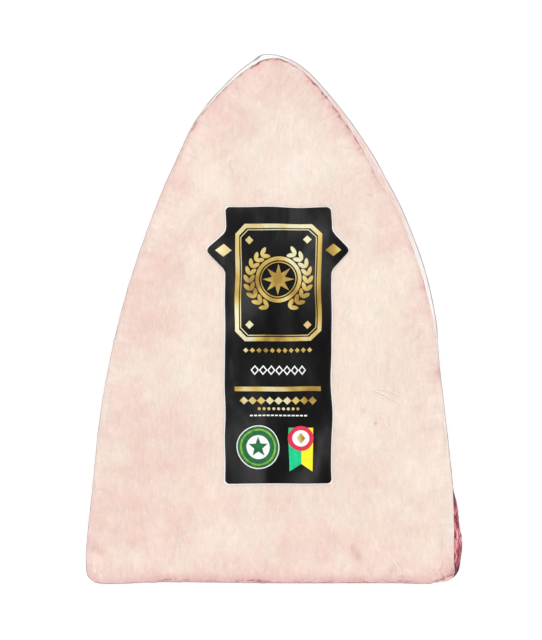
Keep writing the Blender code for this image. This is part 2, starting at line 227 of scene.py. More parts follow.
# Colours, linear.
FAT_CREAM = (0.925, 0.825, 0.732)
FAT_MIDDLE = (0.886, 0.746, 0.664)
FAT_PINK = (0.845, 0.600, 0.550)
# Painted shade: the thin dark line round the fat's rim.
FAT_EDGE_SHADE = (0.30, 0.19, 0.15)
FAT_CUT = (0.60, 0.31, 0.30)
FAT_VEIN = (0.66, 0.34, 0.33)
FAT_GRANULE_GLINT = (0.96, 0.87, 0.78)
FAT_SHADE = (0.70, 0.52, 0.46)
FAT_BLOOD = (0.30, 0.075, 0.07)
FAT_FRINGE = (0.60, 0.22, 0.20)
FAT_SPOT = (0.46, 0.17, 0.10)
LEAN_DARK = (0.13, 0.014, 0.022)
LEAN_RED = (0.36, 0.05, 0.07)
LEAN_PINK = (0.54, 0.150, 0.182)
LEAN_PALE = (0.82, 0.375, 0.405)
LEAN_FAT = (0.82, 0.60, 0.56)
LEAN_SKIN = (0.66, 0.42, 0.43)
PURGE_AND_SHADE = (0.065, 0.006, 0.010)
FILM_CLEAR = (0.985, 0.985, 0.985)
FILM_SMEAR = (0.935, 0.815, 0.785)
BEAD_GREYS = ((0.26, 0.26, 0.25), (0.62, 0.61, 0.57))
BEAD_STAIN = (0.36, 0.25, 0.25)
FOLD_PALE = (1.0, 0.93, 0.86)
FOLD_SHADE = (0.76, 0.55, 0.49)
PAPER = ((0.92, 0.89, 0.86), (0.98, 0.96, 0.94))
FOIL_REFLECTION = ((0.48, 0.29, 0.06), (0.88, 0.63, 0.17), (1.0, 0.93, 0.58))
# Each ink where it covers thinly and where it covers well.
INKS = {
    "green": ((0.005, 0.50, 0.20), (0.008, 0.62, 0.28)),
    "yellow": ((0.90, 0.78, 0.01), (0.98, 0.88, 0.03)),
    "red": ((0.62, 0.02, 0.06), (0.75, 0.035, 0.09)),
    "leaf_green": ((0.10, 0.28, 0.02), (0.28, 0.50, 0.05)),
    "deep_green": ((0.008, 0.10, 0.035), (0.02, 0.17, 0.06)),
    "white": ((0.80, 0.80, 0.78), (0.90, 0.90, 0.88)),
}

# Studio, in metres: the camera, the floor, and the dome's brightness from straight down to straight up.
CAMERA_LENS = 800.0
CAMERA_PLACE = (-0.00174, -0.0005, 7.273)
FLOOR_SIZE = 12.0
FLOOR_Z = -0.0004
FLOOR_GREY = (0.28, 0.28, 0.28)
FLOOR_GLOW = 0.80
SKY = ((0.40, 1.00), (0.50, 1.15), (0.66, 1.05), (0.95, 0.26))
# Soft boxes round the pack: turn about the vertical and height in degrees, and watts.
SOFT_BOXES = ((125, 38, 6.9), (35, 38, 5.9), (-55, 38, 6.7), (-140, 38, 6.9))
BOX_SIZE = 1.2
BOX_DISTANCE = 1.5


def fade(value, low, high):
    """Smooth step from 0 at low to 1 at high."""
    share = np.clip((value - low) / (high - low), 0.0, 1.0)
    return share ** 2 * (3 - 2 * share)


def near(points, places):
    """Strength at points of named places, each with a reach and a strength."""
    total = np.zeros(len(points))
    for x, y, reach, strength in places:
        apart = (points[:, 0] - x) ** 2 + (points[:, 1] - y) ** 2
        total += strength * np.exp(-apart / reach ** 2)
    return total


def blend(t, low, high, a, b):
    """In a straight line from a at low to b at high."""
    return (high - t) / (high - low) * a + (t - low) / (high - low) * b


def spline(points, closed, steps=24):
    """Centripetal Catmull-Rom curve through points, as an array with steps to each span."""
    knots = np.array(points, float)
    if closed:
        knots = np.vstack((knots[-1], knots, knots[:2]))
    else:
        knots = np.vstack((2 * knots[0] - knots[1], knots, 2 * knots[-1] - knots[-2]))
    curve = []
    for a, b, c, d in zip(knots, knots[1:], knots[2:], knots[3:]):
        first = np.sqrt(np.linalg.norm(b - a))
        second = first + np.sqrt(np.linalg.norm(c - b))
        third = second + np.sqrt(np.linalg.norm(d - c))
        t = np.linspace(first, second, steps, endpoint=False)[:, None]
        ab = blend(t, 0.0, first, a, b)
        bc = blend(t, first, second, b, c)
        cd = blend(t, second, third, c, d)
        abc = blend(t, 0.0, second, ab, bc)
        bcd = blend(t, first, third, bc, cd)
        curve.append(blend(t, first, second, abc, bcd))
    if not closed:
        curve.append(knots[-2][None])
    return np.vstack(curve)


def lengths(path):
    """Distance travelled along a path at each of its points."""
    return np.concatenate(([0.0], np.cumsum(np.linalg.norm(np.diff(path, axis=0), axis=1))))


def spaced(path, travelled, count, endpoint=True):
    """count points of a path at even steps of the distance travelled."""
    wanted = np.linspace(0.0, travelled[-1], count, endpoint=endpoint)
    return np.column_stack([np.interp(wanted, travelled, column) for column in path.T])


def stations(path, count):
    """count points from the path's start up to its end, closer together where it turns."""
    step = np.diff(path, axis=0)
    heading = np.unwrap(np.arctan2(step[:, 1], step[:, 0]))
    turn = np.abs(np.diff(heading, prepend=heading[0]))
    counted = np.linalg.norm(step, axis=1) + CORNER_PULL * turn
    return spaced(path, np.concatenate(([0.0], np.cumsum(counted))), count, endpoint=False)


def outline_loop(outline):
    """The outline as ACROSS + ALONG + ACROSS + ALONG stations from the first of CORNERS."""
    marks = [int(np.argmin(np.linalg.norm(outline - corner, axis=1))) for corner in CORNERS]
    sides = []
    for mark, following, count in zip(marks, marks[1:] + marks[:1], (ACROSS, ALONG, ACROSS, ALONG)):
        span = (following - mark) % len(outline)
        sides.append(stations(outline[(mark + np.arange(span + 1)) % len(outline)], count))
    return np.vstack(sides)


def outward(loop):
    """Unit normals of a closed anticlockwise loop, pointing out."""
    along = np.roll(loop, -1, axis=0) - np.roll(loop, 1, axis=0)
    along /= np.linalg.norm(along, axis=1)[:, None]
    return np.column_stack((along[:, 1], -along[:, 0]))


OUTLINE = spline(FAT_OUTLINE, closed=True)
OUTLINE_ENDS = np.roll(OUTLINE, -1, axis=0)
OUTLINE_MIDDLE = (OUTLINE + OUTLINE_ENDS) / 2
OUTLINE_STEP = np.linalg.norm(OUTLINE_ENDS - OUTLINE, axis=1)
OUTLINE_ALONG = (OUTLINE_ENDS - OUTLINE) / OUTLINE_STEP[:, None]
OUTLINE_TRAVEL = np.cumsum(OUTLINE_STEP) - OUTLINE_STEP / 2
PERIMETER = OUTLINE_STEP.sum()
LOOP = outline_loop(OUTLINE)
NORMAL = outward(LOOP)
COUNT = len(LOOP)


def to_spine(plan):
    """The way from plan points to the spine that runs down the middle of the pack."""
    low, high = SPINE_ENDS
    along = low + (high - low) * fade(plan[:, 1], CUT_END_Y, TIP_Y)
    return np.column_stack((np.full(len(plan), SPINE_X), along)) - plan


def inset(depth):
    """The stations moved in by depth, measured square to the edge, along lines that meet on the spine."""
    inward = to_spine(LOOP)
    inward /= np.linalg.norm(inward, axis=1)[:, None]
    square = np.maximum(-(inward * NORMAL).sum(axis=1), 0.5)
    return LOOP + inward * (depth / square)[:, None]


def rim_place(points):
    """Smooth distance in from the outline, and distance round it to the nearest of its points."""
    inward, around = [], []
    for some in np.array_split(points, max(1, len(points) // 4000)):
        apart = ((some[:, None, :] - OUTLINE_MIDDLE[None]) ** 2).sum(axis=2) + 1e-6
        inward.append((2 / np.pi * (OUTLINE_STEP / apart ** 2).sum(axis=1)) ** (-1 / 3))
        nearest = apart.argmin(axis=1)
        past = ((some - OUTLINE_MIDDLE[nearest]) * OUTLINE_ALONG[nearest]).sum(axis=1)
        half = OUTLINE_STEP[nearest] / 2
        around.append(OUTLINE_TRAVEL[nearest] + np.clip(past, -half, half))
    return np.concatenate(inward), np.concatenate(around)


AROUND = rim_place(LOOP)[1]


def ring_place(ring, depth):
    """rim_place for a ring at one depth, which is exact close to the outline."""
    inward, around = rim_place(ring)
    share = fade(depth, 0.5, 4.0)
    return share * inward + (1 - share) * max(depth, 0.0), around


def thickness(y):
    """Thickness on the middle line, at its most a little way in from the cut end."""
    to_tip = np.clip((y - THICKEST_Y) / (TIP_Y - THICKEST_Y), 0.0, 1.0)
    to_cut = np.clip((THICKEST_Y - y) / (THICKEST_Y - CUT_END_Y), 0.0, 1.0)
    return MAX_THICKNESS - TIP_DROP * to_tip ** 2 - CUT_END_DROP * to_cut ** 2


def top_height(points, inward):
    """Height of the fat's upper face over plan points, before its relief."""
    x, y = points.T
    rise = sum(
        height * np.sin(2 * np.pi * MM * (across * x + along * y) + phase)
        for height, across, along, phase in SWELLS
    )
    return thickness(y) * (1 - EDGE_FALL * np.exp(-inward / EDGE_REACH)) + rise


def field(points, shortest, longest, seed, stretch=(1.0, 1.0), waves=36):
    """A smooth random field of unit spread, from plane waves of those lengths."""
    draw = np.random.default_rng(seed)
    total = np.zeros(len(points))
    for _ in range(waves):
        turn = draw.uniform(0, 2 * np.pi)
        pitch = 2 * np.pi / draw.uniform(shortest, longest)
        wave = pitch * np.array((np.cos(turn) / stretch[0], np.sin(turn) / stretch[1]))
        total += np.sin(points @ wave + draw.uniform(0, 2 * np.pi))
    return total * np.sqrt(2 / waves)


def pleats(around, inward, shortest, longest, seed, slant=0.0, waves=28):
    """Unit folds that run in from the rim: a field round the rim that repeats after one turn."""
    draw = np.random.default_rng(seed)
    total = np.zeros(len(around))
    for _ in range(waves):
        turns = round(PERIMETER / draw.uniform(shortest, longest))
        lean = draw.normal(0.0, 1.0) * slant
        total += np.sin(2 * np.pi * turns * (around + lean * inward) / PERIMETER + draw.uniform(0, 2 * np.pi))
    return total * np.sqrt(2 / waves)


def seam_height(points, inward):
    """Height of the seam between lean and fat, which wanders a little."""
    wander = 0.8 * field(points, 16, 40, seed=8) + 0.35 * field(points, 6, 12, seed=9)
    return top_height(points, inward) - FAT_SHARE * thickness(points[:, 1]) + wander


def label_half_width(height):
    """Half the label's width at a height above its centre, with round points and corners."""
    reach = np.linspace(-EAR_BLUNTING, EAR_BLUNTING, 27)
    weight = 1 - (reach / (EAR_BLUNTING + 0.1)) ** 2
    body, ear = LABEL_WIDTH / 2, EAR_WIDTH / 2 + EAR_ALLOWANCE
    spread = np.interp(height[:, None] + reach[None], EAR_HEIGHTS, (body, ear, body))
    inside = np.clip(LABEL_CORNER - (LABEL_HEIGHT / 2 - np.abs(height)), 0.0, LABEL_CORNER)
    rounded = LABEL_CORNER - np.sqrt(LABEL_CORNER ** 2 - inside ** 2)
    return (spread * weight).sum(axis=1) / weight.sum() - rounded


def under_label(points, margin=2.0, soft=4.0):
    """1 under the label and a margin round it, falling to 0 beyond."""
    u = points[:, 0] - LABEL_CENTRE[0]
    v = points[:, 1] - LABEL_CENTRE[1]
    body = LABEL_WIDTH / 2
    wide = np.interp(v, EAR_HEIGHTS, (body, EAR_WIDTH / 2, body))
    beyond = np.maximum(np.abs(u) - wide, np.abs(v) - LABEL_HEIGHT / 2)
    return 1 - fade(beyond, margin, margin + soft)


def lumps(points):
    """Broad unevenness of the fat, the broadest of which the label follows too."""
    small = 0.10 * field(points, 11, 20, seed=4) * (1 - under_label(points))
    return 0.30 * field(points, 22, 46, seed=3) + small


def fat_relief(points, inward, around):
    """The fat's fine relief: pebbling, and puckers that run in from the rim."""
    pebbles = 0.035 * field(points, 5, 10, seed=5) + 0.025 * field(points, 2.5, 5, seed=6)
    puckers = 0.05 * np.exp(-inward / 9.0) * pleats(around, inward, 3.5, 12, seed=7, slant=0.5)
    return (pebbles * fade(inward, 0.0, 6.0) + puckers) * (1 - under_label(points))


def all_creases():
    """Ends, width and strength of the film's creases: the named ones, and a seeded comb from the rim."""
    draw = np.random.default_rng(51)
    found = list(FOLDS)
    for start, out in zip(LOOP[::5], NORMAL[::5]):
        at_base = start[1] < CUT_END_Y + 3.0
        if draw.uniform() < (0.4 if at_base else 0.85):
            continue
        turn = draw.normal(0.0, 0.3 if at_base else 0.6)
        inward = -out @ np.array(((np.cos(turn), -np.sin(turn)), (np.sin(turn), np.cos(turn))))
        first = start - out * draw.uniform(2.0, 9.0)
        last = first + inward * draw.uniform(3.0, 10.0)
        x, y = (first + last) / 2
        apart = min(np.hypot((fold[0] + fold[2]) / 2 - x, (fold[1] + fold[3]) / 2 - y) for fold in found)
        if apart >= FOLD_SPACING:
            found.append((*first, *last, draw.uniform(0.8, 1.4), draw.choice((-0.3, 0.3, 0.5))))
    return found


CREASES = all_creases()


def crease_line(x0, y0, x1, y1, share):
    """Plan points of a crease at shares of its length: it bows a little to one side."""
    aside = np.array((y0 - y1, x1 - x0))
    bow = FOLD_BOW * np.sin(np.pi * share)
    return np.array((x0, y0)) + share[:, None] * np.array((x1 - x0, y1 - y0)) + bow[:, None] * aside


def film_wrinkles(points):
    """Height of the film's slack above the fat, and the low ridge that each crease stands on."""
    height = 0.015 * field(points, 3, 8, seed=12, stretch=(1.0, 3.0))
    for x0, y0, x1, y1, width, strength in CREASES:
        length = np.hypot(x1 - x0, y1 - y0)
        along = np.array((x1 - x0, y1 - y0)) / length
        away = points - (x0, y0)
        share = away @ along / length
        close = (share > 0.0) & (share < 1.0)
        rise = np.sin(np.pi * share[close])
        aside = away[close] @ np.array((-along[1], along[0])) - FOLD_BOW * length * rise
        height[close] += 0.08 * abs(strength) * rise * np.exp(-((aside / (0.5 * width + 0.4)) ** 2))
    return height * (1 - under_label(points))


def side_folds(around, share, depth):
    """Sharp slanting folds of the film down the pack's side, as far as each rises from it."""
    folds = np.maximum(pleats(around, 30.0 * share, 4, 16, seed=32, slant=0.7) - 0.8, 0.0)
    return 0.15 * folds * (1 - fade(depth, 0.5, 6.0))


def profile(rim, height, count):
    """A rim table drawn out into count even steps round its curve: their depths and shares."""
    path = spline([(depth, share * height) for depth, share in rim], closed=False, steps=12)
    depths, heights = spaced(path, lengths(path), count).T
    return depths, np.clip(heights / height, 0.0, 1.0)


FAT_PROFILE = profile(FAT_RIM, FAT_HEIGHT, FAT_RINGS)


def coons(loop):
    """Grid of plan points that fills the loop, ALONG + 1 rows of ACROSS + 1."""
    turn = np.vstack((loop, loop[:1]))
    cut_end = turn[: ACROSS + 1]
    right = turn[ACROSS : ACROSS + ALONG + 1]
    tip = turn[ACROSS + ALONG : 2 * ACROSS + ALONG + 1][::-1]
    left = turn[2 * ACROSS + ALONG :][::-1]
    u = np.linspace(0, 1, ACROSS + 1)[None, :, None]
    v = np.linspace(0, 1, ALONG + 1)[:, None, None]
    ends = (1 - v) * cut_end[None] + v * tip[None]
    sides = (1 - u) * left[:, None] + u * right[:, None]
    corners = (1 - v) * ((1 - u) * left[0] + u * right[0]) + v * ((1 - u) * left[-1] + u * right[-1])
    return ends + sides - corners


def cap_index(ring_start):
    """Vertex numbers of a cap's grid: its edge is a ring's vertices, and the rest follow them."""
    rows, columns = ALONG + 1, ACROSS + 1
    inside = np.arange((rows - 2) * (columns - 2)).reshape(rows - 2, columns - 2)
    index = np.empty((rows, columns), int)
    index[1:-1, 1:-1] = ring_start + COUNT + inside
    index[0, :-1] = ring_start + np.arange(ACROSS)
    index[:-1, -1] = ring_start + ACROSS + np.arange(ALONG)
    index[-1, :0:-1] = ring_start + ACROSS + ALONG + np.arange(ACROSS)
    index[:0:-1, 0] = ring_start + 2 * ACROSS + ALONG + np.arange(ALONG)
    return index


def grid_quads(index):
    """Quads over a grid of vertex numbers, anticlockwise from above."""
    return np.stack((index[:-1, :-1], index[:-1, 1:], index[1:, 1:], index[1:, :-1]), axis=-1).reshape(-1, 4)


def ring_quads(rings, count):
    """Quads between neighbouring rings of count vertices, facing out."""
    here = np.arange(count)
    after = (here + 1) % count
    quads = np.column_stack((here, after, after + count, here + count))
    return np.vstack([quads + low * count for low in range(rings - 1)])


def skin_faces(rings):
    """Faces of a closed skin: a flat bottom, quads up its rings, and a fine grid inside the last."""
    return [range(COUNT)[::-1], *ring_quads(rings, COUNT), *grid_quads(cap_index((rings - 1) * COUNT))]


def new_piece(name, points, faces, material, replaced=(), attributes=None, thickness=0.0, smooth=True):
    """A piece that rides on the body, from points in millimetres. A sheet's thickness goes upwards."""
    mesh = bpy.data.meshes.new(name)
    mesh.from_pydata((np.asarray(points) * MM).tolist(), [], [list(map(int, face)) for face in faces])
    if smooth:
        mesh.shade_smooth()
    for key, values in (attributes or {}).items():
        kind, part = ("FLOAT", "value") if values.ndim == 1 else ("FLOAT_VECTOR", "vector")
        attribute = mesh.attributes.new(key, kind, "POINT")
        attribute.data.foreach_set(part, values.astype(np.float32).ravel())
    piece = bpy.data.objects.new(name, mesh)
    bpy.context.scene.collection.objects.link(piece)
    mesh.materials.append(material)
    if thickness:
        solid = piece.modifiers.new("Thickness", "SOLIDIFY")
        solid.thickness = thickness * MM
        solid.offset = 1.0
    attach(piece, BODY)
    if replaced:
        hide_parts(*replaced)


def fill_ramp(ramp, stops):
    """Sets a colour ramp's stops, each a place and a colour or a grey."""
    marks = ramp.color_ramp.elements
    while len(marks) < len(stops):
        marks.new(0.5)
    for mark, (where, colour) in zip(marks, stops):
        mark.position = where
        mark.color = (*(colour if isinstance(colour, tuple) else (colour,) * 3), 1.0)


class Paint:
    """Builds one node material: most methods add a node and give back its output."""

    def __init__(self, name):
        self.material = bpy.data.materials.new(name)
        self.material.use_nodes = True
        self.tree = self.material.node_tree
        self.shader = self.tree.nodes["Principled BSDF"]
        self.place = self.node("ShaderNodeTexCoord").outputs["Object"]

    def node(self, kind, inputs=None, **settings):
        made = self.tree.nodes.new(kind)
        for key, value in settings.items():
            setattr(made, key, value)
        for key, value in (inputs or {}).items():
            self.set(made.inputs[key], value)
        return made

    def set(self, socket, value):
        """Links an output to a socket, or puts a plain value on it."""
        if isinstance(value, bpy.types.NodeSocket):
            self.tree.links.new(value, socket)
        elif isinstance(value, tuple) and len(value) == 3 and socket.type == "RGBA":
            socket.default_value = (*value, 1.0)
        else:
            socket.default_value = value

    def shade(self, **inputs):
        """Sets sockets of the Principled shader, named with _ for each space, and gives back the material."""
        for key, value in inputs.items():
            self.set(self.shader.inputs[key.replace("_", " ")], value)
        return self.material

    def over_clear(self, share, surface, tint=(1.0, 1.0, 1.0)):
        """Shows that share of a surface over clear film of that tint, and gives back the material."""
        clear = self.node("ShaderNodeBsdfTransparent", {"Color": tint})
        joined = self.node("ShaderNodeMixShader", {0: share, 1: clear.outputs[0], 2: surface})
        self.set(self.tree.nodes["Material Output"].inputs["Surface"], joined.outputs[0])
        return self.material

    def attribute(self, name, part="Fac"):
        return self.node("ShaderNodeAttribute", attribute_name=name).outputs[part]

    def grained(self, lengths, turn):
        """Coordinates for grain that many times longer along each axis, with the axes turned."""
        given = {"Vector": self.place, "Scale": lengths, "Rotation": turn}
        return self.node("ShaderNodeMapping", given, vector_type="TEXTURE").outputs["Vector"]

    def noise(self, scale, detail=2.0, roughness=0.5, distortion=0.0, place=None, finer=None, turn=0.0):
        """Noise, that many times finer along each axis of its place, and then turned."""
        place = self.place if place is None else place
        if finer:
            given = {"Vector": place, "Scale": finer, "Rotation": (0.0, 0.0, turn)}
            place = self.node("ShaderNodeMapping", given).outputs["Vector"]
        given = {"Vector": place, "Scale": scale, "Detail": detail, "Roughness": roughness}
        given["Distortion"] = distortion
        return self.node("ShaderNodeTexNoise", given).outputs["Fac"]

    def span(self, value, low, high, to_low=0.0, to_high=1.0):
        """value's range from low to high, mapped smoothly and clamped."""
        given = {"Value": value, "From Min": low, "From Max": high, "To Min": to_low, "To Max": to_high}
        return self.node("ShaderNodeMapRange", given, interpolation_type="SMOOTHSTEP").outputs["Result"]

    def math(self, operation, *values):
        made = self.node("ShaderNodeMath", operation=operation)
        for socket, value in zip(made.inputs, values):
            self.set(socket, value)
        return made.outputs["Value"]

    def chain(self, operation, values, clamp):
        """One operation on all the values in turn, and the last result clamped or not."""
        result = values[0]
        for value in values[1:]:
            result = self.math(operation, result, value)
        result.node.use_clamp = clamp
        return result

    def total(self, *values, clamp=False):
        return self.chain("ADD", values, clamp)

    def times(self, *values, clamp=False):
        return self.chain("MULTIPLY", values, clamp)

    def swing(self, value, gain, middle=0.5):
        """gain times how far value is from its middle."""
        return self.times(self.math("SUBTRACT", value, middle), gain)

    def line_at(self, value, half, middle=0.5):
        """1 where value is at its middle, falling to 0 at half a line's width from it."""
        return self.span(self.math("ABSOLUTE", self.math("SUBTRACT", value, middle)), 0, half, 1, 0)

    def ramp(self, value, *stops):
        """A colour from stops, each a place and a colour or a grey."""
        made = self.node("ShaderNodeValToRGB", {"Fac": value})
        fill_ramp(made, stops)
        return made.outputs["Color"]

    def mix(self, share, a, b, blend="MIX"):
        made = self.node("ShaderNodeMix", {0: share, 6: a, 7: b}, data_type="RGBA", blend_type=blend)
        return made.outputs[2]

    def tinted(self, colour, value, *stops):
        """The colour times a ramp's."""
        return self.mix(1.0, colour, self.ramp(value, *stops), blend="MULTIPLY")

    def bump(self, height, distance, strength):
        given = {"Height": height, "Distance": distance, "Strength": strength}
        return self.node("ShaderNodeBump", given).outputs["Normal"]


def fat_clouds(paint, patches, grain, rays):
    """The fat's cream and pink, in clouds that turn pinker and combed near the rim."""
    rim = paint.attribute("rim")
    near_rim = paint.span(rim, 6, 22, 1, 0)
    pink = paint.total(
        paint.swing(paint.noise(14, distortion=0.6), 0.8),
        paint.swing(patches, 1.08),
        paint.swing(grain, 0.62),
        paint.times(paint.swing(rays, 0.6), near_rim),
        paint.times(near_rim, 0.10),
        paint.span(rim, 1, 9, 0.09, 0),
        paint.attribute("flush"),
        0.45,
        clamp=True,
    )
    return paint.ramp(pink, (0.0, FAT_CREAM), (0.45, FAT_MIDDLE), (1.0, FAT_PINK))


def fat_texture(paint, colour, patches, rays):
    """The colour with the fat's fine streaks, specks and veins, pale flecks that are partly fat granule and
    partly painted glint, and painted shade combed in from the rim.
    """
    streaks = paint.noise(420, 2, 0.6, 0.5, finer=(1.6, 0.45, 1))
    specks = paint.noise(800, 2, 0.7, finer=(1.1, 0.9, 1))
    cream = paint.noise(75, finer=(1.3, 0.8, 1), turn=0.4)
    mottle = paint.noise(88, 3, 0.55)
    colour = paint.tinted(colour, streaks, (0.3, 0.915), (0.7, 1.0))
    colour = paint.tinted(colour, specks, (0.3, 0.94), (0.7, 1.0))
    colour = paint.tinted(colour, cream, (0.3, 1.0), (0.7, (1.0, 0.99, 0.955)))
    colour = paint.tinted(colour, mottle, (0.35, 1.0), (0.65, (1.012, 0.968, 0.968)))
    veins = paint.line_at(paint.noise(150, 3, 0.6, 0.8, finer=(1.8, 0.5, 1)), 0.012)
    colour = paint.mix(paint.times(veins, paint.span(patches, 0.52, 0.66, 0, 0.28)), colour, FAT_VEIN)
    # Pale flecks: partly grains of fat, partly painted glints of the film.
    granule_glints = paint.noise(330, 3, 0.65, finer=(1.5, 0.6, 1))
    colour = paint.mix(paint.span(granule_glints, 0.60, 0.74, 0, 0.38), colour, FAT_GRANULE_GLINT)
    # Painted shade: fine darker streaks combed in from the rim, strongest close to it.
    combed = paint.times(paint.span(rays, 0.42, 0.62), paint.span(paint.attribute("rim"), 6, 30, 0.17, 0))
    return paint.mix(combed, colour, FAT_SHADE)


def fat_rim(paint, colour, around, rays):
    """The colour with what follows the rim: a painted shade line where the film meets the fat, the cut edge's
    stain, and blood.
    """
    wander = paint.noise(210, 3, 0.6, place=around, finer=(1, 1, 0.3))
    line = paint.total(paint.swing(wander, 4.5), paint.attribute("line"))
    beads = paint.noise(330, 3, 0.7, place=around, finer=(1, 1, 0.5))
    blood = paint.attribute("blood")
    # Painted shade: a thin dark line along the rim, where the film bends the light away from the fat's edge.
    edge = paint.times(
        paint.span(line, 0.25, 0.9, 1, 0), paint.span(line, -0.5, -0.05),
        paint.span(beads, 0.35, 0.65, 0.15, 1), paint.attribute("edge"), clamp=True,
    )
    colour = paint.mix(edge, colour, FAT_EDGE_SHADE)
    stain = paint.times(
        paint.span(line, 0.3, 5, 1, 0), paint.attribute("cut"), paint.span(beads, 0.3, 0.65, 0.28, 0.50),
    )
    colour = paint.mix(stain, colour, FAT_CUT)
    fringe = paint.times(
        paint.span(line, 0, 0.6), paint.span(line, 1.2, 4.5, 1, 0), blood,
        paint.span(rays, 0.5, 0.68, 0, 0.42),
    )
    colour = paint.mix(fringe, colour, FAT_FRINGE)
    clots = paint.times(
        paint.span(line, -0.15, 0.15), paint.span(line, 0.35, 1.3, 1, 0), blood,
        paint.span(beads, 0.40, 0.60, 0.2, 1.15), 0.7, clamp=True,
    )
    return paint.mix(clots, colour, FAT_BLOOD)


def fat_material():
    """Moist beef fat: cream clouded with pink, pinker and puckered towards the rim."""
    paint = Paint("beef_fat")
    around = paint.attribute("around", "Vector")
    patches = paint.noise(56, 3, finer=(1.1, 0.9, 1))
    grain = paint.noise(160, 4, 0.6, finer=(1.25, 0.9, 1))
    rays = paint.noise(420, 2, 0.6, place=around, finer=(1, 1, 0.18))
    colour = fat_clouds(paint, patches, grain, rays)
    colour = fat_texture(paint, colour, patches, rays)
    colour = fat_rim(paint, colour, around, rays)
    spots = paint.times(paint.attribute("spot"), paint.span(grain, 0.35, 0.6, 0.12, 0.42), clamp=True)
    pebbles = paint.noise(340, 3, 0.6, finer=(1.2, 0.7, 1))
    return paint.shade(
        Base_Color=paint.mix(spots, colour, FAT_SPOT),
        Roughness=paint.span(patches, 0.3, 0.7, 0.42, 0.6),
        Normal=paint.bump(pebbles, 0.0003, 0.3),
        Specular_IOR_Level=0.3,
        Subsurface_Weight=0.10,
        Subsurface_Radius=(0.004, 0.0022, 0.0015),
    )


def lean_material():
    """Raw lean seen through film: purplish red fibres with seams of fat and silver skin."""
    paint = Paint("raw_lean")
    at_cut = paint.attribute("cut_face")
    along = paint.grained((1, 7, 1.4), turn=(0.2, 0.0, 0.20))
    across = paint.grained((1, 6, 1.8), turn=(-0.2, 0.0, -0.28))
    fibres = paint.noise(1000, distortion=0.3, place=along)
    bundles = paint.noise(700, 1, distortion=0.3, place=across)
    deep = paint.noise(28, 3, 0.6)
    clumps = paint.noise(110, 3, 0.6, 0.8)
    grain = paint.total(paint.times(fibres, 0.55), paint.times(bundles, 0.45), paint.swing(deep, 0.4))
    calm = paint.times(paint.swing(grain, -0.55, 0.49), paint.attribute("calm"))
    colour = paint.ramp(
        paint.total(grain, calm, paint.times(paint.swing(clumps, 0.30, 0.53), at_cut)),
        (0.43, LEAN_DARK), (0.49, LEAN_RED), (0.545, LEAN_PINK), (0.61, LEAN_PALE),
    )
    threads = paint.line_at(paint.noise(46, 4, 0.55, 1.6, place=along), 0.022)
    threads = paint.times(threads, paint.span(deep, 0.44, 0.6), paint.span(at_cut, 0, 1, 0.7, 0.35))
    colour = paint.mix(threads, colour, LEAN_FAT)
    skin = paint.span(paint.noise(24, 4, 0.65, 1), 0.56, 0.66, 0, 0.55)
    colour = paint.mix(skin, colour, LEAN_SKIN)
    return paint.shade(
        Base_Color=paint.mix(paint.attribute("purge_and_shade"), colour, PURGE_AND_SHADE),
        Roughness=paint.span(fibres, 0.3, 0.7, 0.3, 0.5),
        Normal=paint.bump(fibres, 0.0006, 0.5),
        Specular_IOR_Level=0.0,
    )


def film_material():
    """Clear shrink film: see-through, with a gloss that grows at a glancing angle."""
    paint = Paint("clear_film")
    glancing = paint.math("POWER", paint.node("ShaderNodeLayerWeight", {"Blend": 0.5}).outputs["Facing"], 5.0)
    shine = paint.math("MINIMUM", paint.math("MULTIPLY_ADD", glancing, 0.96, 0.03), 0.045)
    roughness = paint.span(paint.noise(60), 0.3, 0.7, 0.18, 0.28)
    gloss = paint.node("ShaderNodeBsdfGlossy", {"Color": (1.0, 1.0, 1.0), "Roughness": roughness})
    splotches = paint.span(paint.noise(160), 0.35, 0.65, 0.7, 1.1)
    smeared = paint.times(paint.attribute("smear"), splotches, clamp=True)
    paint.tree.nodes.remove(paint.shader)
    return paint.over_clear(shine, gloss.outputs[0], paint.mix(smeared, FILM_CLEAR, FILM_SMEAR))


def bead_material():
    """The folded edge of the film, which looks grey because it bends the light away."""
    paint = Paint("film_fold")
    grey = paint.ramp(paint.noise(160), (0.3, BEAD_GREYS[0]), (0.7, BEAD_GREYS[1]))
    return paint.shade(
        Base_Color=paint.mix(paint.attribute("stain"), grey, BEAD_STAIN), Roughness=0.25, Alpha=0.75,
    )


def fold_material():
    """Doubled film: a little milky where the fold catches the light, and shaded beside it."""
    paint = Paint("film_doubled")
    tone = paint.attribute("tone")
    milky = paint.noise(400)
    paint.shade(
        Base_Color=paint.mix(paint.span(tone, -0.02, 0.02), FOLD_SHADE, FOLD_PALE),
        Roughness=paint.span(milky, 0.3, 0.7, 0.35, 0.5),
        Specular_IOR_Level=0.2,
    )
    cover = paint.times(paint.math("ABSOLUTE", tone), paint.span(milky, 0.3, 0.7, 0.30, 0.52))
    return paint.over_clear(cover, paint.shader.outputs[0])


def label_material():
    """Black coated label stock with a soft, slightly uneven sheen, painted into its colour as lighter patches
    and varied in its roughness.
    """
    paint = Paint("label_black")
    sheen = paint.noise(34, 3, distortion=0.4, finer=(1.6, 0.7, 1), turn=0.5)
    return paint.shade(
        Base_Color=paint.ramp(sheen, (0.32, 0.001), (0.52, 0.008), (0.68, 0.034)),
        Roughness=paint.span(sheen, 0.35, 0.65, 0.30, 0.42),
        Normal=paint.bump(paint.noise(900), 0.00004, 0.3),
        Specular_IOR_Level=0.25,
    )


def core_material():
    """Off-white paper core of the label, seen as a hairline at its cut edge."""
    paint = Paint("label_core")
    return paint.shade(
        Base_Color=paint.ramp(paint.noise(1200), (0.3, PAPER[0]), (0.7, PAPER[1])), Roughness=0.7,
    )


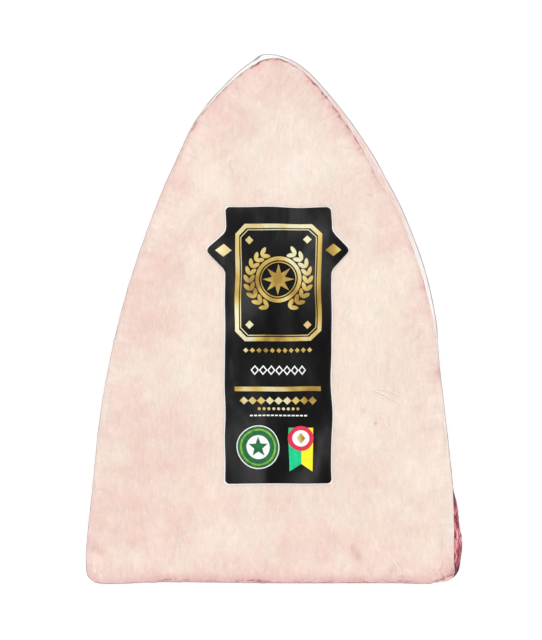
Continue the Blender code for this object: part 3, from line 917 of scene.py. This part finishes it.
def foil_material():
    """Gold foil, with its reflection painted in soft streaks of light and dark gold."""
    paint = Paint("gold_foil")
    reflection_bands = paint.noise(34, distortion=0.4, finer=(1.5, 0.8, 1))
    return paint.shade(
        Base_Color=paint.ramp(reflection_bands, (0.36, FOIL_REFLECTION[0]), (0.48, FOIL_REFLECTION[1]), (0.60, FOIL_REFLECTION[2])),
        Metallic=0.5,
        Roughness=paint.span(paint.noise(600), 0.3, 0.7, 0.30, 0.42),
    )


def ink_material(name, thin, full):
    """Printed ink that covers a little unevenly."""
    paint = Paint(name)
    cover = paint.ramp(paint.noise(420), (0.3, thin), (0.7, full))
    return paint.shade(Base_Color=cover, Roughness=0.4, Specular_IOR_Level=0.4)


def fat_ring(depth, share, out=0.0, wrinkled=False):
    """One ring round the fat, moved out by out: its points, run, depth and place round the rim."""
    ring = inset(depth)
    inward, around = ring_place(ring, depth)
    top = top_height(ring, inward) + lumps(ring)
    under = seam_height(ring, inward) + GAP
    push = out + fat_relief(ring, inward, around) + near(ring, FAT_SWELLS)
    if wrinkled:
        push = push + film_wrinkles(ring) + side_folds(around, share, depth)
    up = fade(depth, 0.0, ROUNDED_BY) if share > OUTERMOST else 0.0
    plan = ring + NORMAL * ((1 - up) * push)[:, None]
    height = under + share * (top - under) + up * push
    climb = (share - OUTERMOST) * (top - under)
    return np.column_stack((plan, height)), inward + climb, inward + np.minimum(climb, 0.0), around


def fat_cap(edge, out=0.0, wrinkled=False):
    """Points over the fat's face inside its last ring, their run, depth and place round the rim."""
    inner = coons(edge[:, :2])[1:-1, 1:-1].reshape(-1, 2)
    inward, around = rim_place(inner)
    height = top_height(inner, inward) + lumps(inner) + fat_relief(inner, inward, around) + out
    if wrinkled:
        height = height + film_wrinkles(inner)
    side = (1 - OUTERMOST) * (height - seam_height(inner, inward))
    return np.column_stack((inner, height)), inward + side, inward, around


def rim_vector(run, around):
    """Places on a drum as long round as the outline, so that texture round the rim has no join."""
    turn = 2 * np.pi * around / PERIMETER
    radius = PERIMETER / (2 * np.pi)
    return np.column_stack((radius * np.cos(turn), radius * np.sin(turn), run)) * MM


def fat_attributes(points, run, depth, around):
    """What the fat's material reads: run up the rim, depth in plan, place round it, flush, stains and the
    painted shade line of the rim.
    """
    line = depth - near(points, LINE_SHIFTS)
    blood = near(points, RIM_BLOOD)
    blush = 0.42 * blood * np.exp(-(((line - 1.6) / 2.6) ** 2))
    at_base = BASE_FLUSH * fade(-points[:, 1], *FLUSHED)
    return {
        "rim": run,
        "line": line,
        "around": rim_vector(run, around),
        "flush": near(points, FLUSH_ZONES) + blush + at_base,
        "blood": blood,
        "spot": near(points, SPOTS),
        # Strength of the painted shade line round the rim.
        "edge": EDGE_SHADE_TONE + near(points, EDGE_SHADE_TONES),
        "cut": fade(-points[:, 1], *STAINED),
    }


def make_fat():
    """The fat layer: a hidden underside, rings up its rounded side, and a fine upper face."""
    rows = list(zip(*FAT_PROFILE))
    first = inset(rows[0][0])
    rings = []
    for share in reversed(HIDDEN_RINGS):
        plan = first + share * to_spine(first)
        inward, around = rim_place(plan)
        hidden = HIDDEN_RUN - inward
        rings.append((np.column_stack((plan, seam_height(plan, inward) + GAP)), hidden, hidden, around))
    rings += [fat_ring(depth, share) for depth, share in rows]
    cap = fat_cap(rings[-1][0])
    points, run, depth, around = (np.concatenate(part) for part in zip(*rings, cap))
    new_piece(
        "fat", points, skin_faces(len(rings)), fat_material(), replaced=["fat_cap"],
        attributes=fat_attributes(points, run, depth, around),
    )


def lean_ring(depth, share, out=0.0):
    """One ring round the lean, moved out by out, with its belly and muscle bundles."""
    reach = np.where(LOOP[:, 1] < BULGE_Y, *BULGE_SPREADS)
    spread = np.exp(-0.5 * ((LOOP[:, 1] - BULGE_Y) / reach) ** 2)
    bulge = LEAN_BULGE * spread * np.maximum(NORMAL[:, 0], 0.0) + near(LOOP, LEAN_SWELLS)
    bundles = 0.35 * pleats(AROUND, 40.0 * share, 9, 24, seed=21, slant=0.6)
    fibres = 0.07 * pleats(AROUND, 40.0 * share, 2.4, 5, seed=22, slant=0.6)
    outline = inset(LEAN_TUCK + depth)
    inward, _ = ring_place(outline, LEAN_TUCK + max(depth, 0.0))
    plan = outline + NORMAL * (np.sin(np.pi * share) * (bulge + bundles + fibres) + out)[:, None]
    return np.column_stack((plan, UNDER_FILM + share * (seam_height(outline, inward) - UNDER_FILM)))


def lean_attributes(points, purge_and_shade):
    """What the lean's material reads: blood round it and painted shade under the fat, how even its grain is,
    and where it is cut.
    """
    at_cut = fade(-points[:, 1], *CUT_FACE) * (1 - fade(points[:, 0], *CUT_FACE_RIGHT))
    strip = fade(points[:, 0], *STRIP_X) * fade(-points[:, 1], *STRIP_Y)
    return {"purge_and_shade": np.clip(purge_and_shade, 0.0, 0.9), "calm": 1 - strip + 0.45 * at_cut, "cut_face": at_cut}


def make_lean():
    """The muscle under the fat, flat where it rests."""
    rows = list(zip(*profile(LEAN_RIM, LEAN_HEIGHT, LEAN_RINGS)))
    rings = [lean_ring(depth, share) for depth, share in rows]
    # Dark red high on the lean's side, in the crease under the fat: partly purge, partly painted shade; and
    # pools of purge.
    purge_and_shade = [
        0.8 * fade(share, 0.87, 0.93) + fade(share, 0.2, 0.55) * near(ring, PURGE_POOLS)
        for (_, share), ring in zip(rows, rings)
    ]
    last = rings[-1][:, :2]
    for share in HIDDEN_RINGS:
        plan = last + share * to_spine(last)
        inward, _ = rim_place(plan)
        rings.append(np.column_stack((plan, seam_height(plan, inward))))
        purge_and_shade.append(np.zeros(COUNT))
    points = np.concatenate(rings)
    top = (len(rings) - 1) * COUNT
    faces = [range(COUNT)[::-1], *ring_quads(len(rings), COUNT), range(top, top + COUNT)]
    new_piece(
        "lean_meat", points, faces, lean_material(), replaced=["lean"],
        attributes=lean_attributes(points, np.concatenate(purge_and_shade)),
    )


def film_reach():
    """How far the film stands out from the fat at each station."""
    away = spline(FILM_EDGE, closed=False)[None] - LOOP[:, None]
    out = (away * NORMAL[:, None]).sum(axis=2)
    aside = np.abs(away[..., 0] * NORMAL[:, None, 1] - away[..., 1] * NORMAL[:, None, 0])
    aside = np.where((out > -1.0) & (out < 8.0), aside, np.inf)
    nearest = aside.argmin(axis=1)
    here = np.arange(COUNT)
    reach = np.where(aside[here, nearest] < 1.0, out[here, nearest], LEAST_REACH)
    return np.maximum(reach, LEAST_REACH)


def flange_level(reach):
    """Height of the free film at each station, with the slack waves that it has where it is wide."""
    under = seam_height(LOOP, np.zeros(COUNT))
    level = under + FILM_SHARE * (top_height(LOOP, np.zeros(COUNT)) - under)
    return level + 0.12 * np.minimum(reach, 3.0) * pleats(AROUND, 0.0, 9, 26, seed=31)


REACH = film_reach()
FLANGE_LEVEL = flange_level(REACH)


def flange_rings():
    """Rings out along the lower face of the free film, round its edge and back along the upper one."""
    rings = []
    for share, rise in ((0, -1), (0.5, -1), (0.97, -1), (1, 0), (0.97, 1), (0.5, 1), (0, 1)):
        out = FILM_OFFSET + share * (REACH - FILM_OFFSET)
        level = FLANGE_LEVEL + rise * FLANGE_THICKNESS / 2
        rings.append(np.column_stack((LOOP + NORMAL * out[:, None], level)))
    return rings


def film_under(depth, share):
    """One ring of the film round the lean, folded down the side and flat where it rests."""
    ring = lean_ring(depth, share, out=FILM_OFFSET)
    ring[:, :2] += NORMAL * (np.sin(np.pi * share) * side_folds(AROUND, share - 1.0, 0.0))[:, None]
    ring[:, 2] = np.maximum(ring[:, 2] - UNDER_FILM * max(0.0, 1 - 2 * share), 0.0)
    return ring


def make_film():
    """The clear film, one closed skin over lean and fat, with its free margin."""
    lean_rows = zip(*profile(LEAN_RIM, LEAN_HEIGHT, FILM_LEAN_RINGS))
    rings = [film_under(depth, share) for depth, share in lean_rows if share < LEAN_COVERED]
    rings[0][:, 2] = 0.0
    lowest, deepest = FAT_COVERED
    for depth, share in zip(*FAT_PROFILE):
        if lowest < share < FILM_SHARE - FILM_ROOM and depth < deepest:
            rings.append(fat_ring(depth, share, FILM_OFFSET)[0])
    first_flange = len(rings)
    rings += flange_rings()
    for depth, share in zip(*FAT_PROFILE):
        if share > FILM_SHARE + FILM_ROOM:
            rings.append(fat_ring(depth, share, FILM_OFFSET, wrinkled=True)[0])
    cap = fat_cap(rings[-1], FILM_OFFSET, wrinkled=True)[0]
    points = np.concatenate(rings + [cap])
    smear = np.zeros(len(points))
    for k, fall in enumerate(FLANGE_SMEAR, start=first_flange):
        smear[k * COUNT : (k + 1) * COUNT] = fall * near(LOOP, MARGIN_SMEARS)
    new_piece(
        "film", points, skin_faces(len(rings)), film_material(), replaced=["film_margin"],
        attributes={"smear": np.clip(smear, 0.0, 1.0)},
    )


def film_height(plan):
    """Height of the film over plan points on the fat's face and on its rounded rim."""
    inward, around = rim_place(plan)
    depths, shares = (part[FAT_PROFILE[1] > OUTERMOST] for part in FAT_PROFILE)
    top = top_height(plan, inward) + lumps(plan)
    fall = (1 - np.interp(inward, depths, shares)) * (top - seam_height(plan, inward))
    return top - fall + fat_relief(plan, inward, around) + film_wrinkles(plan) + FILM_OFFSET


def right_of(line):
    """Unit vectors to the right of an open path."""
    ahead = np.gradient(line, axis=0)
    return np.column_stack((ahead[:, 1], -ahead[:, 0])) / np.linalg.norm(ahead, axis=1)[:, None]


def make_folds():
    """The doubled film along each crease: a low pale ridge with a shaded side, pointed at both ends."""
    share = np.linspace(0.0, 1.0, FOLD_STEPS)
    taper = np.sin(np.pi * np.clip(share, 0.02, 0.98)) ** 0.6
    grid = np.arange(len(FOLD_PROFILE) * FOLD_STEPS).reshape(-1, FOLD_STEPS).T
    points, faces, tones = [], [], []
    for x0, y0, x1, y1, width, strength in CREASES:
        line = crease_line(x0, y0, x1, y1, share)
        if under_label(line, margin=1.0, soft=0.5).any():
            continue
        faces.append(grid_quads(grid + len(points) * FOLD_STEPS))
        side = right_of(line)
        for reach, rise, tone in FOLD_PROFILE:
            plan = line + side * (reach * width * taper)[:, None]
            points.append(np.column_stack((plan, film_height(plan) + FOLD_LIFT + rise * width * taper)))
            shown = max(strength, 0.0) if tone > 0 else 0.15 * max(strength, 0.0) + max(-strength, 0.0)
            tones.append(tone * shown * taper)
    new_piece(
        "film_folds", np.concatenate(points), np.concatenate(faces), fold_material(),
        attributes={"tone": np.concatenate(tones)}, thickness=FOLD_THICKNESS,
    )


def bead_line():
    """The folded edge's stations in order, its path over them, and how free of the fat it is there."""
    first = ACROSS + int(np.argmax(LOOP[ACROSS:, 1] > BEAD_START_Y))
    order = np.concatenate((np.arange(first, COUNT), np.flatnonzero(LOOP[:ACROSS, 0] < BEAD_END_X)))
    snug = fat_ring(0.0, OUTERMOST, FILM_OFFSET, wrinkled=True)[0]
    reach = np.maximum(REACH, ((snug[:, :2] - LOOP) * NORMAL).sum(axis=1))
    free = fade(REACH, LEAST_REACH, LEAST_REACH + 1.0)
    level = free * FLANGE_LEVEL + (1 - free) * snug[:, 2]
    path = np.column_stack((LOOP + NORMAL * reach[:, None], level))
    return order, path[order], free[order]


def bead_radius(path, reach, at_cut):
    """The folded edge's radius along its path, tapered at both ends."""
    snug = SIDE_BEAD + (CUT_BEAD - SIDE_BEAD) * at_cut
    radius = np.maximum(RIM_BEAD * fade(reach, BEAD_FROM, BEAD_FROM + 0.5), snug) + near(path, BEAD_SWELLS)
    travelled = lengths(path)
    ends = fade(travelled, 0.0, BEAD_TAPERS[0]) * fade(travelled[-1] - travelled, 0.0, BEAD_TAPERS[1])
    return radius * (BEAD_TIP + (1 - BEAD_TIP) * ends)


def make_film_rim():
    """The folded edge of the film, a thin bead all round but where the lean stands out."""
    order, path, free = bead_line()
    at_cut = fade(-path[:, 1], *CUT_BEADED)
    radius = bead_radius(path, REACH[order], at_cut)
    path[:, :2] -= NORMAL[order] * (BEAD_SINK * (1 - free) * radius)[:, None]
    rings = []
    for turn in np.linspace(0, 2 * np.pi, BEAD_SIDES, endpoint=False):
        side = NORMAL[order] * (radius * np.cos(turn))[:, None]
        rings.append(np.column_stack((path[:, :2] + side, path[:, 2] + radius * np.sin(turn))))
    points = np.stack(rings, axis=1).reshape(-1, 3)
    last = len(points) - BEAD_SIDES
    faces = [*ring_quads(len(path), BEAD_SIDES)[:, ::-1], range(BEAD_SIDES), range(last, len(points))[::-1]]
    new_piece(
        "film_rim", points, faces, bead_material(),
        attributes={"stain": np.repeat(at_cut, BEAD_SIDES)},
    )


def on_label(plan, lift):
    """Points of the label, given from its centre, laid over the fat and lifted above it."""
    plan = plan + np.array(LABEL_CENTRE)
    drift = (0.20 * field(plan, 20, 45, seed=41), 0.14 * field(plan, 20, 45, seed=42))
    plan = plan + np.column_stack(drift)
    inward, _ = rim_place(plan)
    return np.column_stack((plan, top_height(plan, inward) + lumps(plan) + lift))


def label_sheet(name, material, lift, thickness, margin=0.0, replaced=()):
    """The label's die-cut outline as a fine sheet, grown by margin."""
    end = LABEL_HEIGHT / 2
    corner = end - LABEL_CORNER * (1 - np.sin(np.linspace(0, np.pi / 2, 9)))
    inner = np.arange(-end + LABEL_CORNER + 1.0, end - LABEL_CORNER - 0.5, 1.0)
    rows = np.concatenate((-corner[::-1], inner, corner))
    across = np.linspace(-1, 1, 57)
    u = (label_half_width(rows) + margin)[:, None] * across[None]
    v = np.repeat(rows * (1 + margin / end), len(across))
    points = on_label(np.column_stack((u.ravel(), v)), lift)
    faces = grid_quads(np.arange(u.size).reshape(u.shape))
    new_piece(name, points, faces, material, replaced=replaced, thickness=thickness)


def dense(path, closed, pitch=1.0):
    """The path with points added along its straights, its corners kept."""
    path = np.array(path, float)
    ends = np.roll(path, -1, axis=0) if closed else path[1:]
    points = []
    for a, b in zip(path, ends):
        count = max(1, round(np.linalg.norm(b - a) / pitch))
        points += [a + (b - a) * k / count for k in range(count)]
    if not closed:
        points.append(path[-1])
    return np.array(points)


def band(path, width, closed=False, pitch=1.0):
    """A ribbon of one width along a path, mitred at its corners: plan points and quads."""
    line = dense(path, closed, pitch)
    step = np.roll(line, -1, axis=0) - line
    step /= np.linalg.norm(step, axis=1)[:, None]
    before = np.roll(step, 1, axis=0)
    if not closed:
        step[-1] = step[-2]
        before[0] = step[0]
    side = np.column_stack((step[:, 1] + before[:, 1], -step[:, 0] - before[:, 0]))
    side /= ((side * np.column_stack((step[:, 1], -step[:, 0]))).sum(axis=1))[:, None]
    points = np.concatenate((line + side * width / 2, line - side * width / 2))
    count = len(line)
    here = np.arange(count if closed else count - 1)
    after = (here + 1) % count
    return points, np.column_stack((here, after, after + count, here + count))


def patch(centre, outline):
    """A filled star-shaped outline round its centre: plan points and faces."""
    outline = dense(outline, closed=True)
    away = outline - centre
    rings = max(1, round(np.linalg.norm(away, axis=1).max() / 1.3))
    points = [np.array(centre)[None]] + [centre + away * k / rings for k in range(1, rings + 1)]
    count = len(outline)
    here = np.arange(count)
    after = (here + 1) % count
    faces = [[0, 1 + a, 1 + b] for a, b in zip(here, after)]
    for low in range(1, 1 + (rings - 1) * count, count):
        faces += [[low + a, low + count + a, low + count + b, low + b] for a, b in zip(here, after)]
    return np.concatenate(points), faces


def circle(centre, radius, count):
    """Points round a circle, anticlockwise."""
    angle = np.linspace(0, 2 * np.pi, count, endpoint=False)
    return np.column_stack((centre[0] + radius * np.cos(angle), centre[1] + radius * np.sin(angle)))


def disc(centre, radius):
    """A filled circle."""
    return patch(centre, circle(centre, radius, 64))


def hoop(centre, radius, width):
    """A ring of that middle radius."""
    return band(circle(centre, radius, 72), width, closed=True, pitch=2.0)


def leaf(centre, length, width, turn):
    """A pointed leaf along its turn."""
    angle = np.linspace(0, np.pi, 9)
    x = -np.cos(angle) * length / 2
    y = np.sin(angle) ** 1.3 * width / 2
    outline = np.column_stack((np.concatenate((x, x[-2:0:-1])), np.concatenate((y, -y[-2:0:-1]))))[::-1]
    c, s = np.cos(turn), np.sin(turn)
    return patch(centre, outline @ np.array(((c, s), (-s, c))) + np.array(centre))


def star(centre, outer, inner, points):
    """A star with its points at the outer radius."""
    angle = np.arange(2 * points) * np.pi / points
    radius = np.where(np.arange(2 * points) % 2 == 0, outer, inner)
    outline = np.column_stack((centre[0] + radius * np.sin(angle), centre[1] + radius * np.cos(angle)))
    return patch(centre, outline[::-1])


def diamond(centre, width, height):
    """Corners of a diamond that stands on its point, anticlockwise."""
    x, y = centre
    return [(x + width / 2, y), (x, y + height / 2), (x - width / 2, y), (x, y - height / 2)]


def lozenge(centre, width, height):
    """A filled diamond."""
    return patch(centre, diamond(centre, width, height))


def row(shape, centre_v, width, count):
    """Copies of shape(centre) evenly spaced across a width."""
    pitch = width / count
    return [shape((pitch * (k + 0.5) - width / 2, centre_v)) for k in range(count)]


def cut_frame(u, low, high, cut):
    """Corners of an upright frame with its corners cut off, anticlockwise."""
    return [
        (-u + cut, low), (u - cut, low), (u, low + cut), (u, high - cut),
        (u - cut, high), (-u + cut, high), (-u, high - cut), (-u, low + cut),
    ]


def wreath(side):
    """Leaves in pairs up one side of the emblem, left for -1 and right for 1."""
    leaves = []
    for k in range(9):
        angle = np.radians(-62 + 15.5 * k)
        for radius, tilt in ((13.7, 0.55), (16.4, -0.55)):
            centre = (EMBLEM[0] + side * radius * np.cos(angle), EMBLEM[1] + radius * np.sin(angle))
            leaves.append(leaf(centre, 4.8, 2.2, np.pi / 2 + side * (angle + tilt)))
    return leaves


def gold_shapes():
    """Frame, wreathed medallion, corner lozenges, dividing bar, and rows of lozenges and dots."""
    shapes = [
        band(cut_frame(20.9, 3.2, 60.6, 4.5), 2.1, closed=True),
        band(cut_frame(19.0, 5.1, 58.7, 3.8), 0.45, closed=True),
        hoop(EMBLEM, 10.8, 1.9),
        hoop(EMBLEM, 8.9, 0.5),
        star(EMBLEM, 8.0, 3.5, 8),
        band([(-21.9, -22.3), (21.9, -22.3)], 2.3),
    ]
    for side in (-1, 1):
        shapes += wreath(side)
        shapes.append(lozenge((side * 28.0, 48.3), 8.4, 6.4))
        shapes += [lozenge((side * 14.6, v), 4.2, 4.2) for v in (53.6, 10.4)]
    shapes += row(lambda centre: lozenge(centre, 2.6, 2.6), -2.5, 36.0, 11)
    shapes += row(lambda centre: lozenge(centre, 4.3, 4.0), -28.2, 39.0, 9)
    shapes += row(lambda centre: disc(centre, 0.75), -32.3, 22.0, 9)
    return shapes


def dash(centre):
    """A short level dash."""
    u, v = centre
    return band([(u - 0.75, v), (u + 0.75, v)], 0.7)


def white_shapes():
    """Open lozenges, a line of short dashes, and the white grounds of the seal and the rosette."""
    shapes = row(lambda centre: band(diamond(centre, 3.4, 4.2), 0.6, closed=True), -12.7, 28.0, 7)
    shapes += row(dash, -35.7, 29.6, 14)
    return shapes + [hoop(SEAL, 10.9, 0.5), disc(SEAL, 6.2), disc(ROSETTE, 4.2)]


def ribbon_tail(side):
    """One tail of the rosette's ribbon with its slanting end, left for -1 and right for 1."""
    u, v = ROSETTE
    outer, top = u + side * 6.1, v + 5.5
    corners = [(u, top), (u, -60.2), (outer, -64.0), (outer, top)]
    return patch((u + side * 3.0, v - 4.0), corners[::side])


def make_print(name, shapes, material, layer):
    """All the shapes of one ink as one thin piece on the label's face."""
    plans, faces, start = [], [], 0
    for plan, cells in shapes:
        plans.append(plan)
        faces += [[start + corner for corner in cell] for cell in cells]
        start += len(plan)
    lift = LABEL_OFFSET + LABEL_THICKNESS + layer * PRINT_LIFT
    points = on_label(np.concatenate(plans), lift)
    new_piece(name, points, faces, material, thickness=PRINT_THICKNESS, smooth=False)


def make_label():
    """The label: paper core, black face and its print, one piece for each ink."""
    label_sheet("label_core", core_material(), CORE_OFFSET, CORE_THICKNESS, margin=CORE_MARGIN)
    label_sheet("label_face", label_material(), LABEL_OFFSET, LABEL_THICKNESS, replaced=["label"])
    inks = {name: ink_material(name + "_ink", *tones) for name, tones in INKS.items()}
    inks["gold"] = foil_material()
    for name, shapes, ink, layer in (
        ("gold_print", gold_shapes(), "gold", 0),
        ("ribbon_green", [ribbon_tail(-1)], "green", 0),
        ("ribbon_yellow", [ribbon_tail(1)], "yellow", 0),
        ("seal_deep_green", [disc(SEAL, 10.6)], "deep_green", 0),
        ("seal_leaf_green", [hoop(SEAL, 9.0, 0.9)], "leaf_green", 1),
        ("rosette_red", [disc(ROSETTE, 6.4)], "red", 1),
        ("white_print", white_shapes(), "white", 2),
        ("seal_star", [star(SEAL, 5.4, 2.3, 5)], "deep_green", 3),
        ("rosette_mark", [lozenge(ROSETTE, 4.4, 5.6)], "gold", 3),
    ):
        make_print(name, shapes, inks[ink], layer)


def make_floor():
    """A plain white floor that glows a little, so that it stays pale round the pack."""
    bpy.ops.mesh.primitive_plane_add(size=FLOOR_SIZE, location=(0.0, 0.0, FLOOR_Z))
    floor = bpy.context.object
    floor.name = "floor"
    floor.data.materials.append(Paint("floor_white").shade(
        Base_Color=FLOOR_GREY, Roughness=1.0, Specular_IOR_Level=0.0,
        Emission_Color=(1.0, 1.0, 1.0), Emission_Strength=FLOOR_GLOW,
    ))
    floor.visible_diffuse = False
    floor.visible_glossy = False


def make_sky():
    """A studio dome: dim overhead, so that the black label stays dark, and darker below."""
    world = bpy.data.worlds.new("studio")
    bpy.context.scene.world = world
    world.use_nodes = True
    tree = world.node_tree
    place = tree.nodes.new("ShaderNodeTexCoord")
    parts = tree.nodes.new("ShaderNodeSeparateXYZ")
    height = tree.nodes.new("ShaderNodeMapRange")
    height.inputs["From Min"].default_value = -1.0
    ramp = tree.nodes.new("ShaderNodeValToRGB")
    fill_ramp(ramp, SKY)
    background = tree.nodes["Background"]
    tree.links.new(place.outputs["Generated"], parts.inputs["Vector"])
    tree.links.new(parts.outputs["Z"], height.inputs["Value"])
    tree.links.new(height.outputs["Result"], ramp.inputs["Fac"])
    tree.links.new(ramp.outputs["Color"], background.inputs["Color"])
    background.inputs["Strength"].default_value = 1.0


def make_lights():
    """Soft boxes that stand round the pack and face its middle."""
    for turn, height, watts in SOFT_BOXES:
        light = bpy.data.lights.new("soft_box", "AREA")
        light.size = BOX_SIZE
        light.energy = watts
        lamp = bpy.data.objects.new("soft_box", light)
        bpy.context.scene.collection.objects.link(lamp)
        turn, height = np.radians(turn), np.radians(height)
        flat = BOX_DISTANCE * np.cos(height)
        lamp.location = (flat * np.cos(turn), flat * np.sin(turn), BOX_DISTANCE * np.sin(height))
        lamp.rotation_euler = (np.pi / 2 - height, 0.0, turn + np.pi / 2)


def make_camera():
    """Straight above the pack with the tip at the top of the picture."""
    camera = bpy.data.cameras.new("above")
    camera.lens = CAMERA_LENS
    holder = bpy.data.objects.new("above", camera)
    bpy.context.scene.collection.objects.link(holder)
    holder.location = CAMERA_PLACE
    bpy.context.scene.camera = holder


bpy.context.scene.view_settings.view_transform = "Standard"
make_camera()
make_lights()
make_sky()
make_floor()
make_lean()
make_fat()
make_film()
make_film_rim()
make_folds()
make_label()
